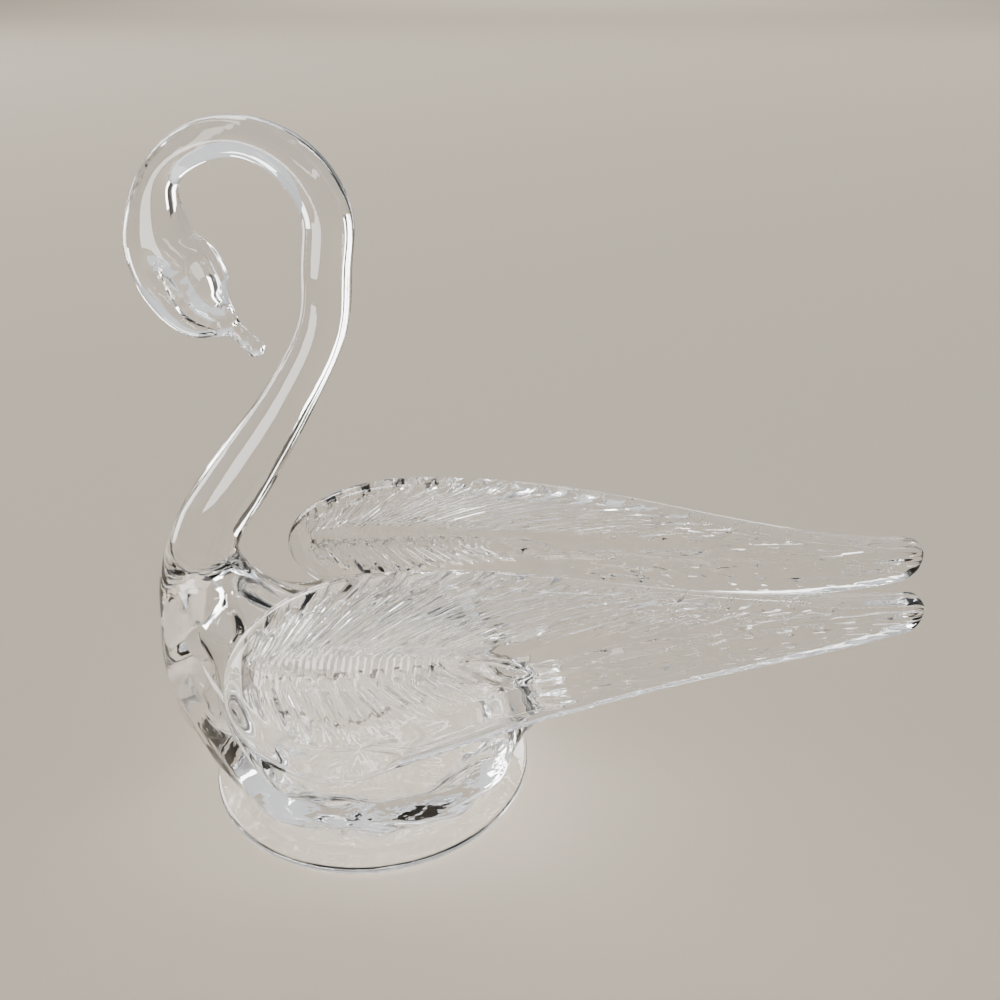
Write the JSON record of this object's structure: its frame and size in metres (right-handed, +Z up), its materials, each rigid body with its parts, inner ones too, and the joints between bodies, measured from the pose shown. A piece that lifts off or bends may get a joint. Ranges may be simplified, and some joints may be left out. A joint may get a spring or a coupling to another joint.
{
  "type": "swan figurine",
  "caption": "A hot-worked clear glass swan on a thin round foot, its long neck curled over and its two ribbed leaf-shaped wings raised back over a squat body.",
  "frame": {"origin": "Centre of the foot's flat underside, on the surface that the figure stands on.", "axes": "+Z is up, out of the foot. +X runs from head to tail, so the head is at -X and the wing tips at +X. +Y is toward the swan's right wing."},
  "size_m": [0.1895, 0.082, 0.163],
  "materials": {
    "clear_glass": "gloss"
  },
  "bodies": {
    "root": {"swan": "clear_glass"}
  },
  "joints": []
}
